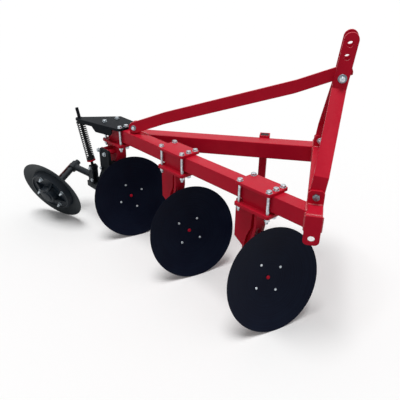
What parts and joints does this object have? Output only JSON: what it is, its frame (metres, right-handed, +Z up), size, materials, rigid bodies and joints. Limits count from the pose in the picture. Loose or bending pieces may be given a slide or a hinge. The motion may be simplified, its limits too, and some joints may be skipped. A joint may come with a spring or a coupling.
{
  "type": "mounted disc plough",
  "caption": "Mounted disc plough: slanting tube frame, bent mast, row of dished discs on clamped standards, leaning furrow wheel on a sprung arm, and a parking stand.",
  "frame": {"origin": "midpoint of the axis through the lower hitch holes", "axes": "+X the way the plough travels, +Y its left side, +Z up"},
  "size_m": [1.9841, 1.1023, 1.3122],
  "materials": {
    "black_paint": "black paint",
    "blade_steel": "dark painted blade steel",
    "hub_steel": "dark hub casting",
    "red_paint": "glossy red paint",
    "wheel_steel": "dark grey wheel",
    "zinc_steel": "bright zinc plated fasteners"
  },
  "bodies": {
    "frame": {"brace_beam": "red_paint", "clamp_bolts_front": "zinc_steel", "clamp_bolts_middle": "zinc_steel", "clamp_bolts_rear": "zinc_steel", "clamp_plate_front": "red_paint", "clamp_plate_middle": "red_paint", "cross_bar": "black_paint", "cross_tube": "red_paint", "hitch_lug_left": "red_paint", "hitch_lug_right": "red_paint", "main_beam": "red_paint", "mast_foot_left": "red_paint", "mast_foot_right": "red_paint", "mast_leg_left": "red_paint", "mast_leg_right": "red_paint", "mast_stay": "red_paint", "spring": "black_paint", "spring_arm": "black_paint", "spring_rod": "black_paint", "spring_seat": "red_paint", "stand_screw": "zinc_steel", "stand_socket": "red_paint", "standard_front": "red_paint", "standard_middle": "red_paint", "standard_rear": "red_paint", "stay_lug": "red_paint", "swing_arm": "black_paint", "tail_pivot": "black_paint", "tail_plate": "black_paint", "tail_spacers": "red_paint", "wheel_axle": "black_paint"},
    "disc_assembly_front": {"disc_front": "blade_steel", "hub_front": "hub_steel"},
    "disc_assembly_middle": {"disc_middle": "blade_steel", "hub_middle": "hub_steel"},
    "disc_assembly_rear": {"disc_rear": "blade_steel", "hub_rear": "hub_steel"},
    "wheel": {"furrow_wheel": "wheel_steel"},
    "parking_stand": {"stand_leg": "red_paint"}
  },
  "joints": [
    {"name": "disc_spin_front", "type": "hinge", "parent": "frame", "child": "disc_assembly_front", "pos_m": [-0.13325, -0.31055, -0.33612], "axis": [0.6566, -0.7115, 0.2504], "continuous": true},
    {"name": "disc_spin_middle", "type": "hinge", "parent": "frame", "child": "disc_assembly_middle", "pos_m": [-0.60634, 0.01096, -0.33612], "axis": [0.6566, -0.7115, 0.2504], "continuous": true},
    {"name": "disc_spin_rear", "type": "hinge", "parent": "frame", "child": "disc_assembly_rear", "pos_m": [-1.07943, 0.33247, -0.33612], "axis": [0.6566, -0.7115, 0.2504], "continuous": true},
    {"name": "wheel_spin", "type": "hinge", "parent": "frame", "child": "wheel", "pos_m": [-1.66872, 0.33178, -0.36648], "axis": [0.23, 0.9045, 0.3592], "continuous": true},
    {"name": "stand_lift", "type": "slide", "parent": "frame", "child": "parking_stand", "axis": [0, 0, 1], "range_m": [0, 0.32]}
  ]
}
